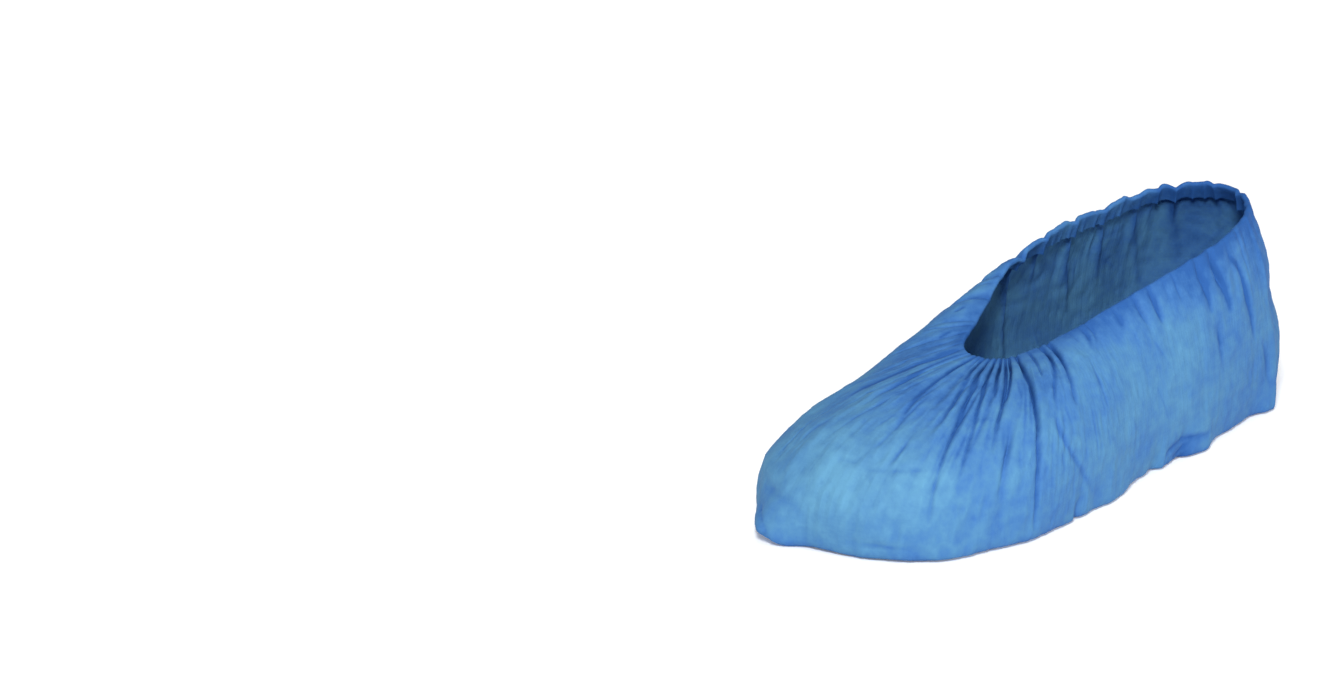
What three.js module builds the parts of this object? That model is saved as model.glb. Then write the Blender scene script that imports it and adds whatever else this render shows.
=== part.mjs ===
// Disposable shoe cover: a bag of thin nonwoven cloth that is pulled over a shoe. Its mouth is a turned hem,
// and an elastic ring in the hem gathers the cloth. The bag keeps the form that a left shoe gives it.
// Units are millimetres. +Z is up, the toe points along -Y, and the wearer's outer side is +X.
import * as THREE from "three";

// Cloth and elastic
const WALL = 1.4; // cloth wall
const GAP = 0.3; // clearance between the elastic and the hem around it
const ELASTIC_THICK = 0.8;
const ELASTIC_TALL = 4.0;
const HEM_TALL = 8.0; // depth of the turned hem
const HEM_ROUND = 1.0; // height of the fold's rounded top

// Mesh density
const STEPS_PER_SECTION = 10;
const WALL_LEVELS = [0.07, 0.15, 0.25, 0.37, 0.5, 0.63, 0.76, 0.89]; // from the hem's foot, 0, to the sole, 1

// Where the middle of the cover's box lies in the table's own plan
const BOX_MIDDLE = { x: 0.9, y: -0.31 };

// One row for each section round the foot, from the toe by the outer side to the heel and back by the inner
// side. rim: the mouth's edge. brow: where the wall heads on leaving the rim. cheek: where it comes from above
// the sole. sole: the lower edge, on the floor.
const SECTIONS = [
  { name: "toe", rim: [-2, -44, 60], brow: [-6, -86, 58], cheek: [-14, -157, 48], sole: [-13, -145] },
  { name: "toe_outer", rim: [7, -41, 60], brow: [27, -78, 60], cheek: [38, -141, 44], sole: [31, -130] },
  { name: "ball_outer", rim: [13, -33, 61.5], brow: [46, -56, 64], cheek: [64, -90, 40], sole: [53, -84] },
  { name: "fore_outer", rim: [20, -18, 66], brow: [46, -28, 68], cheek: [65, -42, 36], sole: [55, -38] },
  { name: "waist_outer", rim: [28, 10, 75], brow: [45, 8, 66], cheek: [58, 8, 30], sole: [48, 8] },
  { name: "mid_outer", rim: [34, 46, 83], brow: [44, 48, 66], cheek: [55, 50, 30], sole: [47, 50] },
  { name: "rear_outer", rim: [34, 88, 89], brow: [43, 92, 68], cheek: [50, 94, 30], sole: [42, 94] },
  { name: "heel_outer", rim: [23, 122, 93.5], brow: [29, 126, 74], cheek: [41, 135, 34], sole: [34, 130] },
  { name: "heel", rim: [0, 136, 95], brow: [0, 150, 76], cheek: [0, 164, 34], sole: [0, 150] },
  { name: "heel_inner", rim: [-23, 122, 93.5], brow: [-33, 130, 74], cheek: [-42, 136, 34], sole: [-34, 130] },
  { name: "rear_inner", rim: [-33, 90, 88.5], brow: [-43, 92, 68], cheek: [-49, 94, 30], sole: [-41, 94] },
  { name: "mid_inner", rim: [-33, 46, 86.5], brow: [-44, 48, 70], cheek: [-53, 50, 30], sole: [-44, 50] },
  { name: "waist_inner", rim: [-29, 12, 78], brow: [-46, 8, 80], cheek: [-55, 8, 30], sole: [-45, 8] },
  { name: "fore_inner", rim: [-22, -14, 66.5], brow: [-47, -28, 70], cheek: [-61, -42, 34], sole: [-51, -40] },
  { name: "ball_inner", rim: [-17, -31, 62], brow: [-46, -58, 51], cheek: [-64, -92, 36], sole: [-54, -88] },
  { name: "toe_inner", rim: [-11, -40, 60.5], brow: [-37, -80, 51], cheek: [-55, -141, 38], sole: [-47, -131] },
];

// One row for each long fold. head and tail: the section where it starts and ends. from and to: its reach down
// the wall, 0 at the rim and 1 at the sole. half: half its width in sections. steep: its depth over its half
// width.
const FOLDS = [
  { head: 15.28, tail: 15.3, from: 0.02, to: 0.32, half: 0.2, steep: 0.45 },
  { head: 15.74, tail: 0.36, from: 0.02, to: 0.52, half: 0.18, steep: 0.5 },
  { head: 0.46, tail: 0.86, from: 0.02, to: 0.46, half: 0.16, steep: 0.6 },
  { head: 0.76, tail: 1.18, from: 0.02, to: 0.85, half: 0.17, steep: 0.75 },
  { head: 1.06, tail: 1.32, from: 0.02, to: 0.68, half: 0.16, steep: 0.65 },
  { head: 1.36, tail: 1.58, from: 0.02, to: 0.58, half: 0.16, steep: 0.65 },
  { head: 1.6, tail: 1.82, from: 0.4, to: 0.95, half: 0.16, steep: 0.45 },
  { head: 1.83, tail: 2.18, from: 0.02, to: 0.95, half: 0.18, steep: 0.7 },
  { head: 2.6, tail: 2.38, from: 0.02, to: 0.38, half: 0.16, steep: 0.6 },
  { head: 2.84, tail: 2.74, from: 0.02, to: 0.46, half: 0.16, steep: 0.7 },
  { head: 2.35, tail: 2.95, from: 0.46, to: 0.92, half: 0.2, steep: 0.5 },
  { head: 4.7, tail: 4.58, from: 0.02, to: 0.28, half: 0.18, steep: 0.25 },
  { head: 5.35, tail: 5.43, from: 0.02, to: 0.34, half: 0.18, steep: 0.22 },
  { head: 5.6, tail: 5.76, from: 0.02, to: 0.38, half: 0.18, steep: 0.3 },
  { head: 5.92, tail: 6.22, from: 0.1, to: 0.6, half: 0.2, steep: 0.28 },
  { head: 7.0, tail: 7.2, from: 0.02, to: 0.4, half: 0.2, steep: 0.2 },
  { head: 7.6, tail: 7.4, from: 0.02, to: 0.5, half: 0.2, steep: 0.22 },
  { head: 8.2, tail: 8.3, from: 0.02, to: 0.35, half: 0.2, steep: 0.2 },
  { head: 8.9, tail: 8.7, from: 0.02, to: 0.5, half: 0.2, steep: 0.22 },
  { head: 9.5, tail: 9.2, from: 0.05, to: 0.62, half: 0.18, steep: 0.24 },
  { head: 10.1, tail: 9.8, from: 0.02, to: 0.5, half: 0.18, steep: 0.26 },
  { head: 10.55, tail: 10.3, from: 0.02, to: 0.62, half: 0.18, steep: 0.28 },
  { head: 11.2, tail: 10.9, from: 0.02, to: 0.4, half: 0.18, steep: 0.26 },
  { head: 11.65, tail: 11.3, from: 0.02, to: 0.75, half: 0.18, steep: 0.32 },
  { head: 12.2, tail: 11.95, from: 0.02, to: 0.5, half: 0.18, steep: 0.28 },
  { head: 12.65, tail: 12.5, from: 0.02, to: 0.8, half: 0.18, steep: 0.36 },
  { head: 13.3, tail: 13.15, from: 0.02, to: 0.5, half: 0.18, steep: 0.4 },
  { head: 13.8, tail: 13.75, from: 0.02, to: 0.7, half: 0.18, steep: 0.45 },
  { head: 14.5, tail: 14.6, from: 0.02, to: 0.5, half: 0.2, steep: 0.4 },
];

// Small gathers that the elastic makes all round the mouth
const GATHERS_PER_SECTION = 2.5;
const GATHER_STEEP = 0.07; // their height over their length
const GATHER_REACH = 0.3; // part of the wall over which they die away

// The bag's ends are welded shut: a low ridge down the wall.
const WELDS = [
  { at: 15.7, half: 0.15, high: 0.8 },
  { at: 6.6, half: 0.15, high: 0.7 },
];
// Lower edge: the welds' corners, and places where the cloth stands out or is drawn in
const EDGE_WAVES = [
  { at: 15.7, half: 0.55, out: 12 },
  { at: 6.58, half: 0.4, out: 6 },
  { at: 1.4, half: 0.5, out: 1.8 },
  { at: 2.1, half: 0.4, out: 1.5 },
  { at: 3.5, half: 0.45, out: 3 },
  { at: 4.28, half: 0.22, out: -2 },
  { at: 4.72, half: 0.22, out: -1.5 },
  { at: 5.12, half: 0.4, out: 4 },
  { at: 10.4, half: 0.5, out: 2 },
  { at: 12.6, half: 0.4, out: 2.5 },
];
const EDGE_START = 0.7; // the lower edge's waves start this far down the wall

const SECTION_COUNT = SECTIONS.length;
const COLUMNS = SECTION_COUNT * STEPS_PER_SECTION;

// A closed smooth curve through one column of the section table
function guideLoop(column) {
  const points = SECTIONS.map((s) => new THREE.Vector3(s[column][0], s[column][1], s[column][2] ?? 0));
  return new THREE.CatmullRomCurve3(points, true, "catmullrom", 0.5);
}
const guides = ["rim", "brow", "cheek", "sole"].map(guideLoop);

// A bump of height 1 at 0 that falls smoothly to 0 at -1 and 1
function bump(x) {
  return Math.abs(x) < 1 ? 0.5 * (1 + Math.cos(Math.PI * x)) : 0;
}

// Distance between two places round the foot, in sections, the short way round
function sectionGap(a, b) {
  const d = (((a - b) % SECTION_COUNT) + SECTION_COUNT) % SECTION_COUNT;
  return d > SECTION_COUNT / 2 ? d - SECTION_COUNT : d;
}

// The four guide points of the wall at a place round the foot, given in sections
function wallGuides(section) {
  const t = (((section / SECTION_COUNT) % 1) + 1) % 1;
  return guides.map((guide) => guide.getPoint(t));
}

// The smooth wall: a cubic from the rim, down 0, to the sole, down 1
function smoothWall(section, down) {
  const [rim, brow, cheek, sole] = wallGuides(section);
  return new THREE.CubicBezierCurve3(rim, brow, cheek, sole).getPoint(down);
}

// Outward normal of the smooth wall
function wallNormal(section, down) {
  const h = 0.01;
  const d = Math.min(Math.max(down, h), 1 - h);
  const round = smoothWall(section + h, d).sub(smoothWall(section - h, d));
  const fall = smoothWall(section, d + h).sub(smoothWall(section, d - h));
  return fall.cross(round).normalize();
}

// Length round the foot that one section covers
function sectionLength(section, down) {
  const h = 0.05;
  return smoothWall(section + h, down).distanceTo(smoothWall(section - h, down)) / (2 * h);
}

// How far the folded cloth stands out from the smooth wall
function foldHeight(section, down) {
  const length = sectionLength(section, down);
  let out = 0;
  for (const f of FOLDS) {
    const along = (down - f.from) / (f.to - f.from);
    if (along < 0 || along > 1) continue;
    const middle = f.head + sectionGap(f.tail, f.head) * along;
    const fade = Math.pow(1 - along, 0.7);
    out -= f.steep * f.half * length * fade * bump(sectionGap(section, middle) / f.half);
  }
  const gatherFade = Math.max(0, 1 - down / GATHER_REACH);
  const gatherHigh = (GATHER_STEEP * length) / GATHERS_PER_SECTION;
  out += gatherHigh * gatherFade * Math.cos(2 * Math.PI * GATHERS_PER_SECTION * section);
  for (const w of WELDS) out += w.high * bump(sectionGap(section, w.at) / w.half);
  return out;
}

// Part of the wall that a drop below the rim, in millimetres, stands for
function dropToDown(section, drop) {
  const [rim, brow] = wallGuides(section);
  return drop / (3 * rim.distanceTo(brow));
}

// A point of the folded cloth, moved inwards through the wall by inset. Folds run straight up through the hem.
function clothPoint(section, down, inset) {
  const height = foldHeight(section, Math.max(down, dropToDown(section, HEM_TALL)));
  const p = smoothWall(section, down).addScaledVector(wallNormal(section, down), height - inset);
  const share = Math.max(0, (down - EDGE_START) / (1 - EDGE_START));
  const out = wallNormal(section, 1).setZ(0).normalize();
  for (const w of EDGE_WAVES) {
    p.addScaledVector(out, w.out * share * share * bump(sectionGap(section, w.at) / w.half));
  }
  return p;
}

// A closed ring of points round the foot
function ring(pointAt) {
  return Array.from({ length: COLUMNS }, (_, i) => pointAt(i / STEPS_PER_SECTION));
}
const hemRing = (inset, drop) => ring((s) => clothPoint(s, dropToDown(s, drop), inset));
const wallRing = (inset, level) =>
  ring((s) => {
    const foot = dropToDown(s, HEM_TALL);
    return clothPoint(s, foot + (1 - foot) * level, inset);
  });
const soleRing = (inset, height) => ring((s) => clothPoint(s, 1, inset).setZ(height));

// A closed solid through rings of equal length. The first and last rings are flat and get flat caps, unless the
// rings close on themselves.
function solidFromRings(rings, closed) {
  const n = rings[0].length;
  const positions = rings.flat().flatMap((p) => [p.x, p.y, p.z]);
  const faces = [];
  const strips = closed ? rings.length : rings.length - 1;
  for (let j = 0; j < strips; j++) {
    const a = j * n;
    const b = ((j + 1) % rings.length) * n;
    for (let i = 0; i < n; i++) {
      const k = (i + 1) % n;
      faces.push(a + i, a + k, b + i, b + i, a + k, b + k);
    }
  }
  if (!closed) {
    const last = (rings.length - 1) * n;
    const outline = (points) => points.map((p) => new THREE.Vector2(p.x, p.y));
    for (const [a, b, c] of THREE.ShapeUtils.triangulateShape(outline(rings[0]), [])) faces.push(a, c, b);
    for (const [a, b, c] of THREE.ShapeUtils.triangulateShape(outline(rings.at(-1)), [])) {
      faces.push(last + a, last + b, last + c);
    }
  }
  const geometry = new THREE.BufferGeometry();
  geometry.setAttribute("position", new THREE.Float32BufferAttribute(positions, 3));
  geometry.setIndex(faces);
  geometry.computeVertexNormals();
  return geometry;
}

// The bag: up the outside from the sole, over the hem, and down the inside to the top of the sole
function coverBody() {
  const channel = WALL + ELASTIC_THICK + 2 * GAP; // inset of the hem's turned-in layer
  const crown = WALL; // drop of the channel's top
  const middle = (crown + HEM_TALL) / 2;
  const hem = [
    { inset: 0, drop: HEM_TALL },
    { inset: 0, drop: middle },
    { inset: 0, drop: HEM_ROUND },
    { inset: 0.7 * WALL, drop: 0 },
    { inset: channel + 0.3 * WALL, drop: 0 },
    { inset: channel + WALL, drop: HEM_ROUND },
    { inset: channel + WALL, drop: middle },
    { inset: channel + WALL, drop: HEM_TALL },
    { inset: channel, drop: HEM_TALL },
    { inset: channel, drop: middle },
    { inset: channel, drop: crown },
    { inset: WALL, drop: crown },
    { inset: WALL, drop: middle },
    { inset: WALL, drop: HEM_TALL },
  ];
  return solidFromRings([
    soleRing(0, 0),
    ...WALL_LEVELS.toReversed().map((level) => wallRing(0, level)),
    ...hem.map(({ inset, drop }) => hemRing(inset, drop)),
    ...WALL_LEVELS.map((level) => wallRing(WALL, level)),
    soleRing(WALL, WALL),
  ]);
}

// The elastic: a flat ring in the hem's channel
function elasticBand() {
  const outer = WALL + GAP;
  const top = WALL + GAP;
  return solidFromRings(
    [
      hemRing(outer, top + ELASTIC_TALL),
      hemRing(outer, top),
      hemRing(outer + ELASTIC_THICK, top),
      hemRing(outer + ELASTIC_THICK, top + ELASTIC_TALL),
    ],
    true,
  );
}

function mesh(name, geometry, material) {
  const made = new THREE.Mesh(geometry, material);
  made.name = name;
  made.position.set(-BOX_MIDDLE.x, -BOX_MIDDLE.y, 0);
  return made;
}

const cloth = new THREE.MeshStandardMaterial({ color: 0x4787cf, roughness: 0.75, metalness: 0 });
const rubber = new THREE.MeshStandardMaterial({ color: 0xd9dde0, roughness: 0.6, metalness: 0 });

const shoeCover = new THREE.Group();
shoeCover.name = "shoe_cover";
shoeCover.add(mesh("cover_body", coverBody(), cloth), mesh("elastic_band", elasticBand(), rubber));

export default shoeCover;
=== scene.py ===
"""Looks of the shoe cover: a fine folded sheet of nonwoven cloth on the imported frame, and a studio."""

import math

import bpy
import numpy as np
from mathutils import Matrix, Vector


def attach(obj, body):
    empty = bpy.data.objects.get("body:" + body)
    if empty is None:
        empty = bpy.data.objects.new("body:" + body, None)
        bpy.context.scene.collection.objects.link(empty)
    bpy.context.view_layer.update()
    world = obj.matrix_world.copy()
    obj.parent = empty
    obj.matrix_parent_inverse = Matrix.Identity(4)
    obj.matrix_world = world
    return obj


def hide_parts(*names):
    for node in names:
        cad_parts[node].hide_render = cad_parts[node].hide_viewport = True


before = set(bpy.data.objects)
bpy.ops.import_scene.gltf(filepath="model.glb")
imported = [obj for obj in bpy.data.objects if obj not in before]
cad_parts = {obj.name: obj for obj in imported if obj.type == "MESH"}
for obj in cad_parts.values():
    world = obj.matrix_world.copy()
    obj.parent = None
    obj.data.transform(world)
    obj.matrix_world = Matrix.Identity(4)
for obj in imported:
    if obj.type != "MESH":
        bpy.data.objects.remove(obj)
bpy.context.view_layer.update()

MM = 0.001
TINY = 1e-6

# The form, in millimetres, from the same table as the part's source.
# Rows run round the foot from the toe by the outer side to the heel, and back by the inner side.
SECTIONS = {
    "toe": dict(rim=(-2, -44, 60), brow=(-6, -86, 58), cheek=(-14, -157, 48), sole=(-13, -145)),
    "toe_outer": dict(rim=(7, -41, 60), brow=(27, -78, 60), cheek=(38, -141, 44), sole=(31, -130)),
    "ball_outer": dict(rim=(13, -33, 61.5), brow=(46, -56, 64), cheek=(64, -90, 40), sole=(53, -84)),
    "fore_outer": dict(rim=(20, -18, 66), brow=(46, -28, 68), cheek=(65, -42, 36), sole=(55, -38)),
    "waist_outer": dict(rim=(28, 10, 75), brow=(45, 8, 66), cheek=(58, 8, 30), sole=(48, 8)),
    "mid_outer": dict(rim=(34, 46, 83), brow=(44, 48, 66), cheek=(55, 50, 30), sole=(47, 50)),
    "rear_outer": dict(rim=(34, 88, 89), brow=(43, 92, 68), cheek=(50, 94, 30), sole=(42, 94)),
    "heel_outer": dict(rim=(23, 122, 93.5), brow=(29, 126, 74), cheek=(41, 135, 34), sole=(34, 130)),
    "heel": dict(rim=(0, 136, 95), brow=(0, 150, 76), cheek=(0, 164, 34), sole=(0, 150)),
    "heel_inner": dict(rim=(-23, 122, 93.5), brow=(-33, 130, 74), cheek=(-42, 136, 34), sole=(-34, 130)),
    "rear_inner": dict(rim=(-33, 90, 88.5), brow=(-43, 92, 68), cheek=(-49, 94, 30), sole=(-41, 94)),
    "mid_inner": dict(rim=(-33, 46, 86.5), brow=(-44, 48, 70), cheek=(-53, 50, 30), sole=(-44, 50)),
    "waist_inner": dict(rim=(-29, 12, 78), brow=(-46, 8, 80), cheek=(-55, 8, 30), sole=(-45, 8)),
    "fore_inner": dict(rim=(-22, -14, 66.5), brow=(-47, -28, 70), cheek=(-61, -42, 34), sole=(-51, -40)),
    "ball_inner": dict(rim=(-17, -31, 62), brow=(-46, -58, 51), cheek=(-64, -92, 36), sole=(-54, -88)),
    "toe_inner": dict(rim=(-11, -40, 60.5), brow=(-37, -80, 51), cheek=(-55, -141, 38), sole=(-47, -131)),
}
SECTION_COUNT = len(SECTIONS)
BOX_MIDDLE = np.array((0.9, -0.31, 0.0))  # middle of the cover's box in the table's plan


def fold(head, tail, start=0.02, lean=0.5, **sizes):
    """A row of the table of folds. Most start at the rim and lie evenly on both sides."""
    return dict(head=head, tail=tail, start=start, lean=lean, **sizes)


# Long folds: head and tail sections, reach from start to end down the wall (0 rim, 1 sole), half width at the
# head in sections, depth over half width as steep, and the share on the side of the higher sections as lean.
# Where given, the column of painted shade gives the painted shade along the fold's sharp line in place of
# steep, bow how it turns in place of FOLD_BOW, and broad the half width of its line in millimetres.
FOLDS = (
    fold(15.12, 15.36, end=0.42, half=0.18, steep=0.35, lean=0.4, tint=2.0, broad=2.2),
    fold(15.58, 15.78, end=0.36, half=0.16, steep=0.4, lean=0.4, tint=2.1, broad=1.6),
    fold(0.08, 0.46, end=0.5, half=0.15, steep=0.9, lean=0.4, tint=1.5, broad=1.2),
    fold(0.26, 0.6, end=0.26, half=0.1, steep=0.4),
    fold(0.48, 0.88, end=0.44, half=0.14, steep=0.9, lean=0.4),
    fold(0.76, 1.18, end=0.85, half=0.14, steep=1.0, lean=0.3),
    fold(1.0, 1.32, end=0.68, half=0.12, steep=1.0, lean=0.4),
    fold(1.2, 1.36, end=0.3, half=0.1, steep=1.3),
    fold(1.36, 1.58, end=0.58, half=0.13, steep=0.9, lean=0.6),
    fold(1.57, 1.56, end=0.32, half=0.1, steep=1.3),
    fold(1.6, 1.82, start=0.4, end=0.95, half=0.12, steep=0.6),
    fold(1.83, 2.18, end=0.95, half=0.15, steep=1.1, lean=0.4),
    fold(2.2, 2.25, end=0.24, half=0.12, steep=0.5),
    fold(2.66, 2.38, end=0.38, half=0.12, steep=1.0, lean=0.6),
    fold(2.82, 2.74, end=0.46, half=0.13, steep=1.1, lean=0.6),
    fold(2.32, 3.05, start=0.44, end=0.9, half=0.12, steep=0.6, tint=1.0, bow=1.3),
    fold(2.82, 2.76, start=1.0, end=0.9, half=0.09, steep=0.5, tint=1.0),
    fold(3.5, 3.4, end=0.2, half=0.1, steep=0.4, tint=0.9),
    fold(4.1, 4.0, end=0.18, half=0.1, steep=0.3, tint=0.9),
    fold(4.7, 4.58, end=0.26, half=0.11, steep=0.6, tint=1.6),
    fold(5.35, 5.43, end=0.34, half=0.11, steep=0.5, tint=1.5),
    fold(5.58, 5.76, end=0.38, half=0.11, steep=0.8, lean=0.4, tint=1.9),
    fold(5.92, 6.22, start=0.1, end=0.6, half=0.13, steep=0.6, lean=0.4, tint=1.7),
    fold(5.46, 5.48, start=0.4, end=0.64, half=0.12, steep=0.3, tint=0.7),
    fold(6.28, 6.58, start=0.62, end=0.9, half=0.14, steep=0.4, tint=0.8),
    fold(4.44, 4.74, start=1.0, end=0.88, half=0.1, steep=0.3),
    fold(4.78, 4.96, start=1.0, end=0.9, half=0.1, steep=0.3),
    fold(7.0, 7.2, end=0.4, half=0.16, steep=0.4),
    fold(7.6, 7.4, end=0.5, half=0.18, steep=0.5),
    fold(8.2, 8.3, end=0.35, half=0.16, steep=0.4, lean=0.6),
    fold(8.9, 8.7, end=0.5, half=0.18, steep=0.5),
    fold(9.5, 9.2, start=0.06, end=0.62, half=0.14, steep=0.5, lean=0.4),
    fold(10.1, 9.8, start=0.06, end=0.5, half=0.13, steep=0.6),
    fold(10.55, 10.3, start=0.06, end=0.62, half=0.13, steep=0.7, lean=0.6),
    fold(11.2, 10.9, start=0.06, end=0.4, half=0.12, steep=0.6, lean=0.4),
    fold(11.65, 11.3, start=0.06, end=0.75, half=0.14, steep=0.8),
    fold(12.2, 11.95, start=0.06, end=0.5, half=0.12, steep=0.6, lean=0.6),
    fold(12.65, 12.5, end=0.8, half=0.14, steep=0.5),
    fold(13.3, 13.15, end=0.3, half=0.14, steep=0.25, lean=0.4),
    fold(13.8, 13.75, end=0.35, half=0.14, steep=0.3),
    fold(14.6, 14.7, end=0.4, half=0.15, steep=0.25, lean=0.6),
)
HEM_START = 0.05  # folds that start higher up than this run on through the hem
FOLD_BOW = 0.75  # folds turn away from the mouth faster at their heads
FOLD_RISE = 0.3  # part of its way over which a fold from below the hem grows
FOLD_TAPER = 0.7  # how fast a fold fades to its tail
FOLD_IN = 3.0  # most that a fold goes in from the smooth bag, where the shoe was, and out, in millimetres
FOLD_OUT = 4.0
WANDER = 0.15  # folds stray from their path by this part of their half width, in waves
WANDER_TURNS = 0.8
WANDER_PHASE = 3.7
VALLEY_ROUND = 0.004  # rounds the bottom of a drawn fold
LEAN_LEAST = 0.05

# The bag's ends are welded shut: a low ridge down the wall.
WELDS = (
    dict(at=15.7, half=0.06, high=0.9),
    dict(at=6.6, half=0.06, high=0.7),
)
# Lower edge: the welds' corners, and places where the cloth stands out or is drawn in.
EDGE_WAVES = (
    dict(at=15.7, half=0.5, out=12.0),
    dict(at=6.58, half=0.36, out=4.4),
    dict(at=1.4, half=0.5, out=1.8),
    dict(at=2.1, half=0.4, out=1.5),
    dict(at=3.5, half=0.45, out=3.0),
    dict(at=4.28, half=0.22, out=-2.0),
    dict(at=4.42, half=0.12, out=2.0),
    dict(at=4.72, half=0.2, out=-1.5),
    dict(at=5.12, half=0.4, out=4.0),
    dict(at=10.4, half=0.5, out=2.0),
    dict(at=12.6, half=0.4, out=2.5),
)
EDGE_START = 0.7  # the lower edge's waves start this far down the wall
EDGE_ROUND = 3.0  # the cloth's bend round the lower edge
# The toe's corner is turned up: place and half width in sections, lift and height of the cloth it takes up.
TOE_CORNER = dict(at=15.63, half=0.3, lift=5.0, tall=14.0)
# A hollow over the heel: section and part of the wall, half widths of both, and depth in millimetres.
HEEL_HOLLOW = dict(at=(7.05, 0.49), half=(0.9, 0.17), deep=2.2)

# Short creases, from head to tail, each a section and a part of the wall. Half width and depth are in
# millimetres, and the last column is how much painted shade lies in them.
SHORT_CREASES = (
    dict(head=(0.16, 0.655), tail=(0.36, 0.65), half=2.4, deep=0.8, tint=0.5),
    dict(head=(0.45, 0.67), tail=(1.0, 0.625), half=2.4, deep=1.0, tint=0.5),
    dict(head=(0.44, 0.935), tail=(1.16, 0.95), half=2.4, deep=1.0, tint=0.4),
    dict(head=(15.4, 0.81), tail=(15.98, 0.86), half=3.4, deep=1.4, tint=0.3),
    dict(head=(15.52, 0.89), tail=(15.82, 0.99), half=2.6, deep=1.5, tint=0.4),
    dict(head=(4.42, 0.92), tail=(4.78, 0.87), half=3.0, deep=1.2, tint=0.8),
    dict(head=(4.7, 0.88), tail=(5.2, 0.91), half=3.0, deep=1.4, tint=0.9),
    dict(head=(4.6, 0.97), tail=(4.9, 0.91), half=2.6, deep=0.9, tint=0.6),
    dict(head=(12.9, 0.1), tail=(12.98, 0.16), half=2.6, deep=1.6, tint=0.9),
    dict(head=(13.64, 0.07), tail=(13.74, 0.13), half=2.6, deep=1.6, tint=1.0),
    dict(head=(14.95, 0.05), tail=(15.05, 0.11), half=2.4, deep=1.6, tint=1.0),
)
SHORT_TAPER = 0.5  # how fast they fade at their ends, under 1 to stay strong
CREASE_SHARP = 1.5  # over 1 for a crease with a sharp bottom

# Zones round the foot: middle and width in sections
MOUTH_FRONT = (0.9, 2.2)
INNER_SIDE = (11.0, 2.0)
INNER_SLOPE = (14.3, 1.0)
FAR_RIM = (10.5, 3.0)
TOE_AND_BALL = (1.4, 2.0)

# Gathers of the elastic: plain size, and what is added in front of the mouth and on the inner side
GATHER_PITCH = (8.0, -3.6, -3.2)
GATHER_DEEP = (0.3, 0.15, -0.1)  # over the pitch
GATHER_REACH = (0.2, 0.15, 0.0)  # part of the wall
GATHER_SPREAD = dict(
    pitch=(0.6, 1.4), deep=(0.6, 1.3), reach=(0.5, 1.5), slant=(-0.5, 0.5), lean=(0.35, 0.65)
)
GATHER_HALF = 0.55  # half width over the pitch
GATHER_CALM = 0.7  # share of their depth that is lost on the inner slope
GATHER_CLEAR = 0.6  # a gather nearer to a fold's head than this part of the pitch is left out
GATHER_SLANT = 6.0
GATHER_TAPER = 1.2
GATHER_LINE_AND_PAINTED_SHADE = 0.4  # strength of their lines and of the painted shade along them, and width over that of the gather
GATHER_LINE_WIDE = 0.5

# Drawn-out wrinkles and streaks: cells round the foot and down the wall, share and seed.
# Soft wrinkles and crinkles: size and height in millimetres, and seed.
DRAWN_WRINKLES = ((60, 3.0, 0.022, 11), (110, 5.0, 0.014, 12))  # share of a section's length
SOFT_WRINKLES = ((26.0, 0.8, 21), (13.0, 0.5, 22), (6.5, 0.2, 23))
STREAKS = ((180, 10.0, 1.0, 61), (320, 20.0, 0.5, 62))
CRINKLES = ((17.0, 0.9, 41), (9.0, 0.54, 42), (4.5, 0.28, 43), (2.5, 0.1, 44))
WRINKLE_LEAST = 0.35  # strength of the drawn-out wrinkles away from the mouth's front
WRINKLE_END = 1.15  # they fade down the wall towards this part of it, to no less than WRINKLE_LOW
WRINKLE_LOW = 0.2
WRINKLE_LEVEL = 0.5  # level of the noise that lies on the smooth cloth
CRINKLE_LEVEL = 0.4
STREAK_TALL = 0.22  # height in millimetres
STREAK_LEAST = 0.25  # strength away from the toe and the ball
STREAK_FALL = 3.0  # how far the streaks fall from their sharp crests
HEM_FADE = 0.1  # the relief fades out over this part of the wall at the hem

# Thin creases at random places, the range of each size
THIN_CREASES = 100
THIN_ELSEWHERE = 3  # one in so many lies anywhere, and the others in front of the mouth
THIN_FRONT = (1.0, 1.4)  # middle and spread of those, in sections
THIN_START = (0.1, 0.6)
THIN_LONG = (0.12, 0.35)
THIN_HALF = (1.0, 2.0)
THIN_DEEP = (0.15, 0.45)
THIN_FAN = (0.0, 0.125)  # turn away from the mouth's front, and its spread
THIN_STRAY = 0.06
THIN_FAINT = 0.7  # share of their depth in those that lie anywhere

# Sharp lines at the bottom of the folds, sizes in millimetres
PRESS_DEEP = 2.0
PRESS_STEP = 0.2  # spacing at which valleys are looked for
VALLEY_WIDE = 2.4  # a valley is what a blur this wide fills and a fine one doesn't
VALLEY_FINE = 0.4
SLOPE_BLUR = 0.5
LINE_SEARCH = 0.35  # a line may stray from its fold's path by this part of the fold's half width
LINE_SHARE = 0.5  # half width of a line over that of its fold, and its limits
LINE_LIMITS = (0.7, 1.7)
LINE_TAPER = 0.6  # how fast a line fades along its fold, under 1 to stay strong
LINE_SMOOTH = 4.0  # rows over which a line's stray is smoothed, and the farthest that count
LINE_ROWS = 9
PATH_PASSES = 4  # of finding where a fold crosses the rows
PINCH = 0.6  # how far the cloth moves down a slope of 1 towards such a line, and the most that it moves
PINCH_MOST = 0.6

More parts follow.
